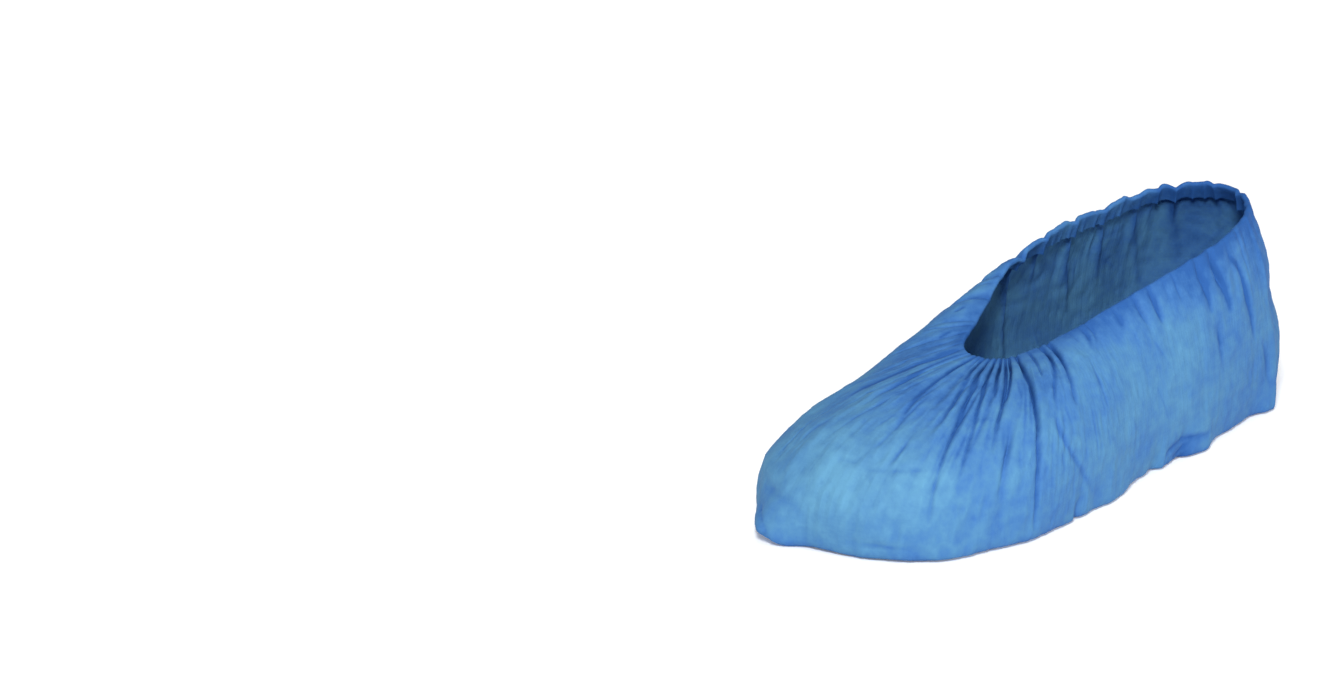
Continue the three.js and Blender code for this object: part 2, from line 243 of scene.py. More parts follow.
# Hem, elastic and sole, in millimetres
HEM_TALL = 8.0
HEM_THICK = 2.6
HEM_ROUND = 1.2
HEM_OUTSIDE = (6.0, 4.0, 2.4)  # drops of the rings up its outside, degrees over its top, drops on its inside
HEM_TURNS = (35, 70, 110, 145)
HEM_INSIDE = (3.5, 6.0)
HEM_PLAIN = 3.0  # height of the hem's top part that the wall's sharp lines don't reach
HEM_FOLDED = 0.4  # share of the folds' depth at the hem's top
HEM_UNEVEN = dict(high=1.4, size=5.0, seed=51)  # of its top
HEM_CALM = 0.25  # share of that away from the far rim
ELASTIC_THICK = 0.8
ELASTIC_TALL = 4.0
ELASTIC_GAP = 0.5  # between the elastic and the round of the hem
SOLE_LIFT = 0.3  # the sheet's own thickness, which keeps it off the floor
SOLE_WRINKLE = dict(size=18.0, high=0.9, seed=31)
SOLE_DROP = 6  # how fast the sole falls from a lifted edge
SPINE_TOE = -110.0  # the sole's middle line, from the toe to the heel
SPINE_HEEL = 118.0
SPINE_SLOPE = 0.035

# Mesh density and settling
STEPS_PER_SECTION = 72
WALL_STEPS = 64
SOLE_STEPS = 10
SETTLING = (200, 60, 25)  # passes, from the coarse grid to the fine one
FULLNESS = 1.2  # cloth length in the folds over that of the folds as drawn
THREAD_FIRM = 0.6  # how far each pass corrects a length along the grid, and across its cells
SLANT_FIRM = 0.12
BEND_LENGTH = 0.35  # grid spacing, in millimetres, at which a pass takes the share BEND out of a kink
BEND = 0.2
BEND_LIMITS = (0.004, 0.45)
DOWN_SOFTEN = 0.04  # how much each pass evens out the cloth down the wall

# Depth of the cloth's colour: its own tone, with painted shade in folds and creases, at the heel, under the
# hem and at the lower edge, and a painted highlight on the toe. Patches have a middle and a width, in
# sections and in parts of the wall.
PLAIN_DEPTH = 0.54
LOOSE_SHADED_FRONT = (0.5, 1.6)  # zones of loose cloth in front of the mouth and on the slope beside it, deeper in colour, partly as painted shade
LOOSE_SHADED_SLOPE = (15.0, 0.9)
LOOSE_SHADED_SLOPE_DEEP = 0.6
LOOSE_REACH = ((-0.7, 0.8), (0.12, 0.3))  # sections from the toe, and how far down it reaches there
LOOSE_END = (0.15, 0.8)  # it turns tight over this part of the wall, plus this share of its reach
OUTER_SIDE = (5.5, 3.2)  # zone of the gathered cloth under the outer rim, darker partly as painted shade under the hem, its height and depth
GATHERED_TALL = 0.16
GATHERS_AND_SHADE_DEEP = 0.55
# painted shade on the heel, the side turned away from the lamps
HEEL_SHADE_ZONE = (7.5, 1.8)
HEEL_PAINTED_SHADE = 0.28
LIP_PAINTED_SHADE = dict(zone=(4.8, 0.3), start=0.87, over=0.05, deep=0.6)  # painted shade in the drawn-in lip of the lower edge
BALL_PATCH = dict(at=(1.9, 0.8), wide=(0.8, 0.25), deep=0.25)
# painted highlight on the toe's front
PALE_TOE_HIGHLIGHT = dict(at=(0.3, 0.7), wide=(1.0, 0.18), deep=1.0)
# painted shade beside the mouth on the inner slope, with the deeper colour of its gathered cloth
INNER_MOUTH_GATHERS_AND_SHADE = dict(at=(13.9, 0.0), wide=(1.0, 0.3), deep=0.55)
HOLLOW_PAINTED_SHADE = 0.4  # painted shade of cloth that lies HOLLOW_FULL millimetres or more inside the smooth bag, in the folds' hollows
HOLLOW_FULL = 2.0
# painted shade where the cloth turns under at the lower edge
LOW_EDGE_PAINTED_SHADE = 0.5
LOW_EDGE_START = 0.94
LINE_PAINTED_SHADE = 1.1  # painted shade along the sharp lines, and how much of that is lost down the wall
LINE_SHADE_FADE = 0.4
THIN_PAINTED_SHADE = 1.2  # painted shade in a thin crease for each millimetre of its depth
STREAK_PAINTED_LIGHT = 0.1  # painted light and shade of the streaks' relief: paler crests, deeper lows
HEM_PAINTED_SHADE = 0.5  # painted shade on the hem's top and inside

# Places on the cloth's colour ramp: that of the palest cloth, and the ranges of the depth, clouds and mottles
PALEST = 0.13
DEPTH = 0.522
CLOUDS = 0.78
MOTTLE = 0.7
CLOTH_RAMP = (
    (0.0, (0.093, 0.258, 0.415)),
    (0.35, (0.065, 0.195, 0.372)),
    (0.65, (0.043, 0.145, 0.365)),
    (1.0, (0.02, 0.09, 0.295)),
)
ELASTIC_RAMP = ((0.0, (0.62, 0.65, 0.68)), (1.0, (0.78, 0.80, 0.82)))

# Camera, read off the photo: the table's origin lands on ORIGIN_PIXEL
PHOTO_SIZE = (1320, 674)
ORIGIN_PIXEL = (1037.1, 458.5)
CAMERA_AZIMUTH = 42.53
CAMERA_ELEVATION = 19.98
CAMERA_DISTANCE = 1.7
CAMERA_CLIP = (0.05, 50.0)
FOCAL_PIXELS = 3867.6
SENSOR_WIDTH = 36.0

# Studio lights: name, place and size in metres, and watts
LIGHTS = (
    ("key", (1.0, -1.45, 1.45), 0.5, 48),
    ("left", (-1.5, -0.9, 1.3), 0.9, 4),
    ("fill", (1.9, 0.3, 0.8), 0.9, 14),
    ("top", (0.0, 0.2, 2.2), 1.6, 9),
)
SKY_STRENGTH = 0.3
FLOOR_HALF = 12.0
FLOOR_COLOUR = (0.92, 0.92, 0.92, 1)
FLOOR_GLOW = {"From Min": 0.4, "From Max": 1.2, "To Min": 0.14, "To Max": 0.6}  # by distance from the cover
WHITE = (1, 1, 1, 1)

NOISE_CELLS = 4096
NOISE_STRIDES = np.array((73, 179, 283))
rng = np.random.default_rng(7)


# Form of the smooth bag

def guide_rows(column):
    """One column of the section table as an array of points, at the floor where it has no height."""
    points = [tuple(row[column]) for row in SECTIONS.values()]
    return np.array([point + (0.0,) * (3 - len(point)) for point in points], float)


GUIDES = {column: guide_rows(column) for column in ("rim", "brow", "cheek", "sole")}


def loop_point(rows, section):
    """Closed smooth curve through rows, at places given in sections."""
    base = np.floor(section).astype(int)
    t = (section - base)[..., None]
    p0, p1, p2, p3 = (rows[(base + k) % SECTION_COUNT] for k in (-1, 0, 1, 2))
    square = 2 * p0 - 5 * p1 + 4 * p2 - p3
    cube = 3 * p1 - p0 - 3 * p2 + p3
    return 0.5 * (2 * p1 + (p2 - p0) * t + square * t**2 + cube * t**3)


def smooth_wall(section, down):
    """The wall before folding: a cubic from the rim, down 0, to the sole, down 1."""
    rim, brow, cheek, sole = (loop_point(rows, section) for rows in GUIDES.values())
    d = down[..., None]
    e = 1 - d
    return e**3 * rim + 3 * e**2 * d * brow + 3 * e * d**2 * cheek + d**3 * sole


def unit(v):
    return v / np.linalg.norm(v, axis=-1, keepdims=True)


def wall_normal(section, down):
    """Outward normal of the smooth wall."""
    h = 0.01
    d = np.clip(down, h, 1 - h)
    around = smooth_wall(section + h, d) - smooth_wall(section - h, d)
    fall = smooth_wall(section, d + h) - smooth_wall(section, d - h)
    return unit(np.cross(fall, around))


def section_length(section, down):
    """Length round the foot that one section covers."""
    h = 0.05
    step = smooth_wall(section + h, down) - smooth_wall(section - h, down)
    return np.linalg.norm(step, axis=-1) / (2 * h)


def length_at(section, down):
    """section_length at one place."""
    return float(section_length(np.array(section), np.array(down)))


def wall_length(section, down):
    """Length down the wall, if all of it were like the part at this place."""
    h = 0.01
    step = smooth_wall(section, down + h) - smooth_wall(section, down - h)
    return np.linalg.norm(step, axis=-1) / (2 * h)


def section_gap(a, b):
    """Distance between places round the foot, in sections, the short way round."""
    return (a - b + SECTION_COUNT / 2) % SECTION_COUNT - SECTION_COUNT / 2


def drop_to_down(section, drop):
    """Part of the wall that a drop below the rim, in millimetres, stands for."""
    lead = loop_point(GUIDES["brow"], section) - loop_point(GUIDES["rim"], section)
    return drop / (3 * np.linalg.norm(lead, axis=-1))


# Shapes of folds and unevenness

def bump(x):
    return np.where(np.abs(x) < 1, 0.5 * (1 + np.cos(np.pi * np.clip(x, -1, 1))), 0.0)


def smoothstep(t):
    return t * t * (3 - 2 * t)


def zone(section, place):
    """How far a place round the foot lies in a zone, from 0 to 1."""
    middle, wide = place
    return np.exp(-(section_gap(section, middle) / wide) ** 2)


def patch(row, section, down):
    """A soft spot on the wall, times its depth of colour."""
    around = section_gap(section, row["at"][0]) / row["wide"][0]
    fall = (down - row["at"][1]) / row["wide"][1]
    return row["deep"] * np.exp(-around**2 - fall**2)


def crease(x, lean):
    """Cross-section of a fold: a sharp valley at 0 between rounded ridges. lean is its share above 0."""
    side = np.where(x > 0, 2 * lean, 2 * (1 - lean))
    reach = np.clip(np.sqrt(x * x + VALLEY_ROUND) / np.maximum(side, LEAN_LEAST), 0, 1)
    return -((1 - reach) ** 2)


def lattice_noise(points, seed):
    """Smooth noise from -1 to 1 on a unit lattice of random values."""
    table = np.random.default_rng(seed).uniform(-1, 1, NOISE_CELLS)
    base = np.floor(points).astype(int)
    t = smoothstep(points - base)
    total = np.zeros(points.shape[:-1])
    for corner in np.ndindex(2, 2, 2):
        value = table[((base + corner) * NOISE_STRIDES).sum(-1) % NOISE_CELLS]
        total += value * np.prod(np.where(np.array(corner) == 1, t, 1 - t), axis=-1)
    return total


def drawn_noise(section, down, cells, falls, seed):
    """Smooth noise drawn out down the wall, with the given cells round the foot and down the wall."""
    angle = 2 * np.pi * section / SECTION_COUNT
    wide = cells / (2 * np.pi)
    return lattice_noise(np.stack((wide * np.cos(angle), wide * np.sin(angle), down * falls), -1), seed)


# Folds

def gather_size(sizes, front, inner):
    plain, more_front, more_inner = sizes
    return plain + more_front * front + more_inner * inner


def gathers():
    """Small pleats that the elastic makes, walked round the rim at an uneven pitch."""
    found = []
    place = 0.0
    heads = np.array([f["head"] for f in FOLDS if f["start"] < HEM_START])
    while place < SECTION_COUNT:
        here = np.array(place)
        front, inner, calm = (float(zone(here, z)) for z in (MOUTH_FRONT, INNER_SIDE, INNER_SLOPE))
        length = length_at(place, HEM_START)
        pitch = gather_size(GATHER_PITCH, front, inner) * rng.uniform(*GATHER_SPREAD["pitch"])
        deep = gather_size(GATHER_DEEP, front, inner) * (1 - GATHER_CALM * calm) * pitch
        made = dict(
            at=place,
            half=GATHER_HALF * pitch / length,
            deep=deep * rng.uniform(*GATHER_SPREAD["deep"]),
            reach=gather_size(GATHER_REACH, front, inner) * rng.uniform(*GATHER_SPREAD["reach"]),
            slant=rng.uniform(*GATHER_SPREAD["slant"]),
            lean=rng.uniform(*GATHER_SPREAD["lean"]),
        )
        if np.min(np.abs(section_gap(place, heads))) * length > GATHER_CLEAR * pitch:
            found.append(made)
        place += pitch / length
    return found


GATHERS = gathers()


def fold_path(f, down):
    """Where a fold runs at places down the wall, in sections, and its part of the way along, from 0 to 1."""
    along = (down - f["start"]) / (f["end"] - f["start"])
    wander = WANDER * f["half"] * np.sin(2 * np.pi * (WANDER_TURNS * along + WANDER_PHASE * f["head"]))
    turn = np.maximum(along, 0) ** f.get("bow", FOLD_BOW)
    return f["head"] + section_gap(f["tail"], f["head"]) * turn + wander, along


def gather_path(g, down):
    """Where a gather runs at places down the wall, in sections, and its part of the way along."""
    along = down / g["reach"]
    return g["at"] + GATHER_SLANT * g["slant"] * g["half"] * along, along


def fold_fade(f, along):
    """Strength along a fold: full at its head, none at its tail. One from below the hem rises slowly."""
    from_edge = f["start"] < HEM_START or f["start"] == 1.0
    rise = 1.0 if from_edge else np.clip(along / FOLD_RISE, 0, 1)
    return np.where((along >= 0) & (along <= 1), rise * np.clip(1 - along, 0, 1) ** FOLD_TAPER, 0)


def fold_height(section, down):
    """How far the folded cloth stands out from the smooth wall."""
    length = section_length(section, down)
    out = np.zeros_like(down)
    for f in FOLDS:
        middle, along = fold_path(f, down)
        wide = f["half"] * np.sqrt(length * length_at(f["head"], f["start"]))
        x = section_gap(section, middle) * length / wide
        out += f["steep"] * wide * fold_fade(f, along) * crease(x, f["lean"])
    for g in GATHERS:
        middle, along = gather_path(g, down)
        fade = np.clip(1 - along, 0, 1) ** GATHER_TAPER
        out += g["deep"] * fade * crease(section_gap(section, middle) / g["half"], g["lean"])
    for w in WELDS:
        out += w["high"] * bump(section_gap(section, w["at"]) / w["half"])
    return out


def soft_wrinkles(section, down, place):
    """Uneven cloth: drawn-out wrinkles that run down from the mouth, and soft ones in all directions."""
    length = section_length(section, down)
    out = np.zeros_like(down)
    front = WRINKLE_LEAST + (1 - WRINKLE_LEAST) * zone(section, MOUTH_FRONT)
    fade = np.clip(WRINKLE_END - down, WRINKLE_LOW, 1)
    for cells, falls, share, seed in DRAWN_WRINKLES:
        out += share * front * length * drawn_noise(section, down, cells, falls, seed) * fade
    for size, high, seed in SOFT_WRINKLES:
        out += high * (WRINKLE_LEVEL - np.abs(lattice_noise(place / size, seed)))
    return out


def edge_outward(section):
    """Level direction out from the lower edge."""
    return unit(wall_normal(section, np.ones_like(section)) * (1, 1, 0))


def smooth_cloth(section, down):
    """The unfolded bag, with the hollow over its heel and the waves of its lower edge."""
    around = bump(section_gap(section, HEEL_HOLLOW["at"][0]) / HEEL_HOLLOW["half"][0])
    hollow = HEEL_HOLLOW["deep"] * around * bump((down - HEEL_HOLLOW["at"][1]) / HEEL_HOLLOW["half"][1])
    point = smooth_wall(section, down) - wall_normal(section, down) * hollow[..., None]
    share = np.clip((down - EDGE_START) / (1 - EDGE_START), 0, 1) ** 2
    reach = sum(w["out"] * bump(section_gap(section, w["at"]) / w["half"]) for w in EDGE_WAVES)
    return point + edge_outward(section) * (reach * share)[..., None]


def folded_cloth(section, down, inset=0.0, share=1.0):
    """The bag with its folds drawn in, or a share of them. Folds run straight up through the hem."""
    normal = wall_normal(section, down)
    smooth = smooth_cloth(section, down)
    below_hem = np.maximum(down, drop_to_down(section, HEM_TALL))
    height = fold_height(section, below_hem) + soft_wrinkles(section, below_hem, smooth)
    return smooth + normal * (share * height - inset)[..., None]


# Settling the cloth, so that drawn folds turn into natural ones

def wall_grid(columns, rows):
    """Places of a grid on the wall below the hem, in sections and in parts of the wall."""
    section = np.arange(columns) * SECTION_COUNT / columns
    level = np.linspace(0, 1, rows)[:, None]
    foot = drop_to_down(section, HEM_TALL)[None, :]
    return np.broadcast_to(section, (rows, columns)).copy(), foot + (1 - foot) * level


def pull(a, b, weight_a, weight_b, rest, firm):
    """Moves two sets of points along the line between them towards their rest distance."""
    gap = b - a
    length = np.maximum(np.linalg.norm(gap, axis=-1), TINY)
    share = firm * (length - rest) / length / np.maximum(weight_a + weight_b, TINY)
    a += gap * (share * weight_a)[..., None]
    b -= gap * (share * weight_b)[..., None]


def pull_pairs(points, free, rest, step, firm):
    """Pulls each point and the one step = (rows, columns) on, in groups that share no point."""
    down, across = step
    count = points.shape[0] - down
    for first in range(2):
        if across:
            order = slice(first, None, 2)
            top = points[:count, order].copy()
            other = np.roll(points, -across, axis=1)[down:, order].copy()
            other_free = np.roll(free, -across, axis=1)[down:, order]
            pull(top, other, free[:count, order], other_free, rest[:count, order], firm)
            points[:count, order] = top
            turned = np.roll(points, -across, axis=1)
            turned[down:, order] = other
            points[:] = np.roll(turned, across, axis=1)
        else:
            upper = slice(first, count, 2)
            lower = slice(first + down, count + down, 2)
            pull(points[upper], points[lower], free[upper], free[lower], rest[upper], firm)


def edge_length(points, step):
    down, across = step
    other = np.roll(points, -across, axis=1)
    return np.linalg.norm(other[down:] - points[:points.shape[0] - down], axis=-1)


def double(field):
    """A field on a grid at twice the density, round the foot and down the wall."""
    before, after, far = (np.roll(field, k, axis=1) for k in (1, -1, -2))
    middle = (9 * (field + after) - before - far) / 16
    wide = np.stack((field, middle), 2).reshape(field.shape[0], -1, field.shape[2])
    tall = np.empty((2 * wide.shape[0] - 1,) + wide.shape[1:])
    tall[0::2] = wide
    tall[1::2] = 0.5 * (wide[1:] + wide[:-1])
    return tall


def bow(field):
    """How far each point lies off the middle of its neighbours round the foot."""
    return 0.5 * (np.roll(field, 1, axis=1) + np.roll(field, -1, axis=1)) - field


def settle(columns, rows, moved, passes):
    """One stage of settling. moved is how far each point starts from the unfolded bag."""
    section, down = wall_grid(columns, rows)
    smooth = smooth_cloth(section, down)
    normal = wall_normal(section, down)
    drawn = folded_cloth(section, down)
    if moved is None:
        moved = drawn - smooth
    points = smooth + moved
    points[0] = drawn[0]
    points[-1] = drawn[-1] * (1, 1, 0)
    free = np.ones((rows, columns))
    free[0] = free[-1] = 0
    around, fall, slant_a, slant_b = (0, 1), (1, 0), (1, 1), (1, -1)
    firmness = {around: THREAD_FIRM, fall: THREAD_FIRM, slant_a: SLANT_FIRM, slant_b: SLANT_FIRM}
    rest = {step: edge_length(smooth, step) for step in firmness}
    plain = rest[around].copy()
    rest[around] += FULLNESS * np.maximum(edge_length(drawn, around) - plain, 0)
    for step, turn in ((slant_a, 0), (slant_b, 1)):
        short, long = (np.roll(0.5 * (side[1:] + side[:-1]), turn, axis=1) for side in (plain, rest[around]))
        skew = (rest[step] ** 2 - rest[fall] ** 2 - short**2) / short
        rest[step] = np.sqrt(rest[fall] ** 2 + long**2 + skew * long)
    bend = np.clip(BEND * (BEND_LENGTH / edge_length(smooth, around)) ** 4, *BEND_LIMITS) * free
    for _ in range(passes):
        for step, firm in firmness.items():
            pull_pairs(points, free, rest[step], step, firm)
        moved = points - smooth
        moved -= bend[..., None] * bow(bow(moved))
        softer = np.zeros_like(moved)
        softer[1:-1] = 0.5 * (moved[2:] + moved[:-2]) - moved[1:-1]
        moved += DOWN_SOFTEN * softer * free[..., None]
        height = np.sum(moved * normal, -1)
        stop = np.clip(height, -FOLD_IN, FOLD_OUT) - height
        moved += normal * (stop * free)[..., None]
        points = smooth + moved
    return points - smooth


# Sharp lines at the bottom of the folds

def blur(values, spread):
    """Smooths a closed row of values, PRESS_STEP apart, by a bell curve of the given spread."""
    pitch = np.fft.rfftfreq(len(values), PRESS_STEP)
    return np.fft.irfft(np.fft.rfft(values) * np.exp(-2 * (np.pi * spread * pitch) ** 2), len(values))


def press_creases(moved, section, down):
    """Moves that press a sharp line into each fold and pinch the cloth to it, and the painted shade along the
    lines.
    """
    smooth = smooth_cloth(section, down)
    normal = wall_normal(section, down)
    height = np.sum(moved * normal, -1)
    pressed = np.zeros_like(moved)
    side = unit(np.roll(smooth, -1, axis=1) - np.roll(smooth, 1, axis=1))
    gaps = edge_length(smooth, (0, 1))
    hollow = np.zeros_like(height)
    for j in range(len(moved) - 1):
        total = gaps[j].sum()
        place = np.append(0, np.cumsum(gaps[j]))
        count = int(total / PRESS_STEP)
        even = np.arange(count) * total / count
        row = np.interp(even, place, np.append(height[j], height[j, 0]))
        valley = np.maximum(blur(row, VALLEY_WIDE) - blur(row, VALLEY_FINE), 0)
        slope = np.gradient(blur(row, SLOPE_BLUR), PRESS_STEP)
        hollow[j] = np.interp(place[:-1], even, valley, period=total)
        slope = np.interp(place[:-1], even, slope, period=total)
        pressed[j] = -side[j] * np.clip(PINCH * slope, -PINCH_MOST, PINCH_MOST)[:, None]
    strength, tint = fold_lines(hollow, section, down)
    pressed -= normal * (PRESS_DEEP * strength)[..., None]
    return pressed, tint


def row_places(path, row):
    """Section and part of the way along at which a path crosses each row of the wall's grid."""
    level = np.linspace(0, 1, WALL_STEPS + 1)
    place, along = path(row, level)
    for _ in range(PATH_PASSES):
        foot = drop_to_down(place, HEM_TALL)
        place, along = path(row, foot + (1 - foot) * level)
    return place, along


def all_lines():
    """Path, fade and width of each fold and gather, and half width, strength and painted shade of its sharp
    line.
    """
    for f in FOLDS:
        place, along = row_places(fold_path, f)
        wide = f["half"] * length_at(f["head"], f["start"])
        # a fold without its own painted shade takes its steepness as that shade
        tint = f.get("tint", f["steep"])
        yield place, fold_fade(f, along), wide, f.get("broad", line_half(wide)), f["steep"], tint
    for g in GATHERS:
        place, along = row_places(gather_path, g)
        wide = GATHER_LINE_WIDE * g["half"] * length_at(g["at"], HEM_START)
        yield place, np.clip(1 - along, 0, 1), wide, line_half(wide), GATHER_LINE_AND_PAINTED_SHADE, GATHER_LINE_AND_PAINTED_SHADE


def fold_lines(hollow, section, down):
    """Strength and painted shade of the sharp lines of all folds and gathers, in valleys of the given depth.
    """
    length = section_length(section, down)
    strength = np.zeros_like(down)
    tint = np.zeros_like(down)
    for place, fade, wide, half, line_strength, line_tint in all_lines():
        across = section_gap(section, place[:, None]) * length
        line = valley_line(hollow, across, fade**LINE_TAPER, wide, half)
        strength = np.maximum(strength, line_strength * line)
        tint = np.maximum(tint, line_tint * line)
    strength[-1] = 0
    return strength, tint


def line_half(wide):
    """Half width of the sharp line of a fold."""
    return np.clip(LINE_SHARE * wide, *LINE_LIMITS)


def valley_line(hollow, across, firm, wide, half):
    """A sharp line that follows the valley near a fold's path. across is the distance from the path."""
    weight = hollow**3 * bump(across / (LINE_SEARCH * wide))
    total = weight.sum(1)
    trust = np.where(firm > 0, np.sqrt(total), 0) + TINY
    off = (weight * across).sum(1) / np.maximum(total, 1e-9)
    bell = np.exp(-(np.arange(-LINE_ROWS, LINE_ROWS + 1) / LINE_SMOOTH) ** 2)
    off = np.convolve(off * trust, bell, "same") / np.convolve(trust, bell, "same")
    return firm[:, None] * np.exp(-(((across - off[:, None]) / half) ** 2))


# Fine relief and colour

def hem_fade(down):
    return np.clip((down - down[0]) / HEM_FADE, 0, 1)


def thin_creases(section, down):
    """Depth of thin creases at random places, most of them in front of the mouth."""
    length = section_length(section, down)
    deep = np.zeros_like(down)
    for k in range(THIN_CREASES):
        front = k % THIN_ELSEWHERE != 0
        head = rng.normal(*THIN_FRONT) if front else rng.uniform(0, SECTION_COUNT)
        start = rng.uniform(*THIN_START)
        turn = section_gap(head, MOUTH_FRONT[0]) * rng.uniform(*THIN_FAN) + rng.normal(0, THIN_STRAY)
        along = np.clip((down - start) / rng.uniform(*THIN_LONG), 0, 1)
        across = section_gap(section, head + turn * along) * length / rng.uniform(*THIN_HALF)
        most = rng.uniform(*THIN_DEEP) * (1.0 if front else THIN_FAINT)
        deep += most * np.sin(np.pi * along) * np.clip(1 - np.abs(across), 0, 1) ** CREASE_SHARP
    return deep


def streaks(section, down):
    """Short sharp streaks of crinkled cloth, up to 1.5 high, strongest over the toe and the ball."""
    strong = STREAK_LEAST + (1 - STREAK_LEAST) * zone(section, TOE_AND_BALL)
    rough = np.zeros_like(down)
    for cells, falls, share, seed in STREAKS:
        rough += share * (1 - STREAK_FALL * np.abs(drawn_noise(section, down, cells, falls, seed)))
    return strong * rough * hem_fade(down)


def crinkle(place, section, down):
    """Fine sharp crinkles and the short creases, which fade out at the hem."""
    high = np.zeros_like(down)
    for size, tall, seed in CRINKLES:
        high += tall * (CRINKLE_LEVEL - np.abs(lattice_noise(place / size, seed)))
    for row in SHORT_CREASES:
        high -= row["deep"] * short_crease(row, section, down)
    return high * hem_fade(down)


def short_crease(row, section, down):
    """Strength of a crease that runs straight between two places on the wall."""
    head, tail = np.array(row["head"]), np.array(row["tail"])
    turn = np.array((section_gap(tail[0], head[0]), tail[1] - head[1]))
    middle = head + 0.5 * turn
    scale = np.array((section_length(*middle), wall_length(*middle)))
    run = turn * scale
    place = np.stack((section_gap(section, head[0]), down - head[1]), -1) * scale
    along = np.clip(place @ run / (run @ run), 0, 1)
    off = np.linalg.norm(place - along[..., None] * run, axis=-1)
    return np.sin(np.pi * along) ** SHORT_TAPER * np.clip(1 - off / row["half"], 0, 1) ** CREASE_SHARP


def tone_and_painted_light(section, down, height):
    """How deep the cloth's colour is: a painted highlight where it is tight over the toe, deeper where it is
    loose, partly as painted shade, and painted shade in the folds' hollows, at the heel, under the outer rim,
    beside the mouth, in the lip and at the lower edge.
    """
    reach = np.interp(section_gap(section, 0.0), *LOOSE_REACH)
    tight = np.clip((down - reach) / (LOOSE_END[0] + LOOSE_END[1] * reach), 0, 1)
    # deeper colour of loose cloth in front of the mouth and beside it: partly its layers, partly painted
    # shade
    loose_and_shaded = np.maximum(zone(section, LOOSE_SHADED_FRONT), LOOSE_SHADED_SLOPE_DEEP * zone(section, LOOSE_SHADED_SLOPE))
    loose_and_shaded = loose_and_shaded * (1 - smoothstep(tight))
    # darker band under the outer rim: painted shade under the hem, with its gathers
    gathers_and_shade = zone(section, OUTER_SIDE) * np.exp(-((down - down[0]) / GATHERED_TALL) ** 2)
    # painted shade in the drawn-in lip of the lower edge
    lip_shade = zone(section, LIP_PAINTED_SHADE["zone"]) * np.clip((down - LIP_PAINTED_SHADE["start"]) / LIP_PAINTED_SHADE["over"], 0, 1)
    # painted shade at the heel
    depth = PLAIN_DEPTH + HEEL_PAINTED_SHADE * zone(section, HEEL_SHADE_ZONE) + GATHERS_AND_SHADE_DEEP * gathers_and_shade
    depth = depth + patch(BALL_PATCH, section, down) + LIP_PAINTED_SHADE["deep"] * lip_shade
    # the toe's front gets a painted highlight
    depth = loose_and_shaded + (1 - loose_and_shaded) * depth * (1 - patch(PALE_TOE_HIGHLIGHT, section, down))
    # painted shade where the cloth turns under at the lower edge
    low_edge_shade = np.clip((down - LOW_EDGE_START) / (1 - LOW_EDGE_START), 0, 1) ** 2
    # painted shade in the folds' hollows
    hollow = np.clip(-height / HOLLOW_FULL, 0, 1)
    # adds painted shade beside the mouth, in the folds' hollows and at the lower edge
    return depth + patch(INNER_MOUTH_GATHERS_AND_SHADE, section, down) + HOLLOW_PAINTED_SHADE * hollow + LOW_EDGE_PAINTED_SHADE * low_edge_shade


# Meshes

def placed(name, data):
    """A new object in the scene."""
    made = bpy.data.objects.new(name, data)
    bpy.context.scene.collection.objects.link(made)
    return made


def ring_mesh(name, rings, closed=False):
    """A mesh through rings of equal length, in millimetres of the table's plan."""
    count = rings[0].shape[0]
    points = (np.concatenate(rings) - BOX_MIDDLE) * MM
    strips = len(rings) if closed else len(rings) - 1
    column = np.arange(count)
    after = (column + 1) % count
    faces = []
    for j in range(strips):
        a = j * count
        b = (j + 1) % len(rings) * count
        faces.append(np.stack((a + column, a + after, b + after, b + column), -1))
    mesh = bpy.data.meshes.new(name)
    mesh.from_pydata(points.tolist(), [], np.concatenate(faces).tolist())
    mesh.validate()
    mesh.polygons.foreach_set("use_smooth", [True] * len(mesh.polygons))
    return placed(name, mesh)


COLUMNS = SECTION_COUNT * STEPS_PER_SECTION
AROUND = np.arange(COLUMNS) / STEPS_PER_SECTION


def wall_rings():
    """The settled wall, from the hem's foot to the sole, how far its lines are pressed, its colours and the
    painted shade along its lines.
    """
    moved = None
    for stage, passes in enumerate(SETTLING):
        scale = 2 ** (len(SETTLING) - 1 - stage)
        rows = WALL_STEPS // scale + 1
        if moved is not None:
            moved = double(moved)
        moved = settle(COLUMNS // scale, rows, moved, passes)
    section, down = wall_grid(COLUMNS, WALL_STEPS + 1)
    smooth = smooth_cloth(section, down)
    pressed, tint = press_creases(moved, section, down)
    settled = smooth + moved + pressed
    normal = wall_normal(section, down)
    thin = thin_creases(section, down)
    streak = streaks(section, down)
    settled += normal * (crinkle(settled, section, down) - thin + STREAK_TALL * streak)[..., None]
    height = np.sum((settled - smooth) * normal, -1)
    # painted shade along the sharp lines, fading down the wall, and in the short creases
    line_shade = LINE_PAINTED_SHADE * tint * (1 - LINE_SHADE_FADE * down)
    for row in SHORT_CREASES:
        line_shade = np.maximum(line_shade, row["tint"] * short_crease(row, section, down))
    # thin creases get painted shade
    line_shade = np.maximum(line_shade, THIN_PAINTED_SHADE * thin)
    # streak crests get a painted highlight and their lows painted shade
    depth = tone_and_painted_light(section, down, height) - STREAK_PAINTED_LIGHT * streak
    return round_edge(settled, section), pressed, depth, line_shade


def round_edge(points, section):
    """Bends the cloth round the lower edge, and turns the toe's corner up."""
    low = np.clip(EDGE_ROUND - points[..., 2], 0, EDGE_ROUND)
    tuck = EDGE_ROUND - np.sqrt(np.maximum(EDGE_ROUND**2 - low**2, 0))
    points = points - edge_outward(section) * tuck[..., None]
    points[..., 2] = np.maximum(points[..., 2], SOLE_LIFT)
    lift = TOE_CORNER["lift"] * bump(section_gap(section, TOE_CORNER["at"]) / TOE_CORNER["half"])
    points[..., 2] += lift * np.clip(1 - points[..., 2] / TOE_CORNER["tall"], 0, 1)
    return points


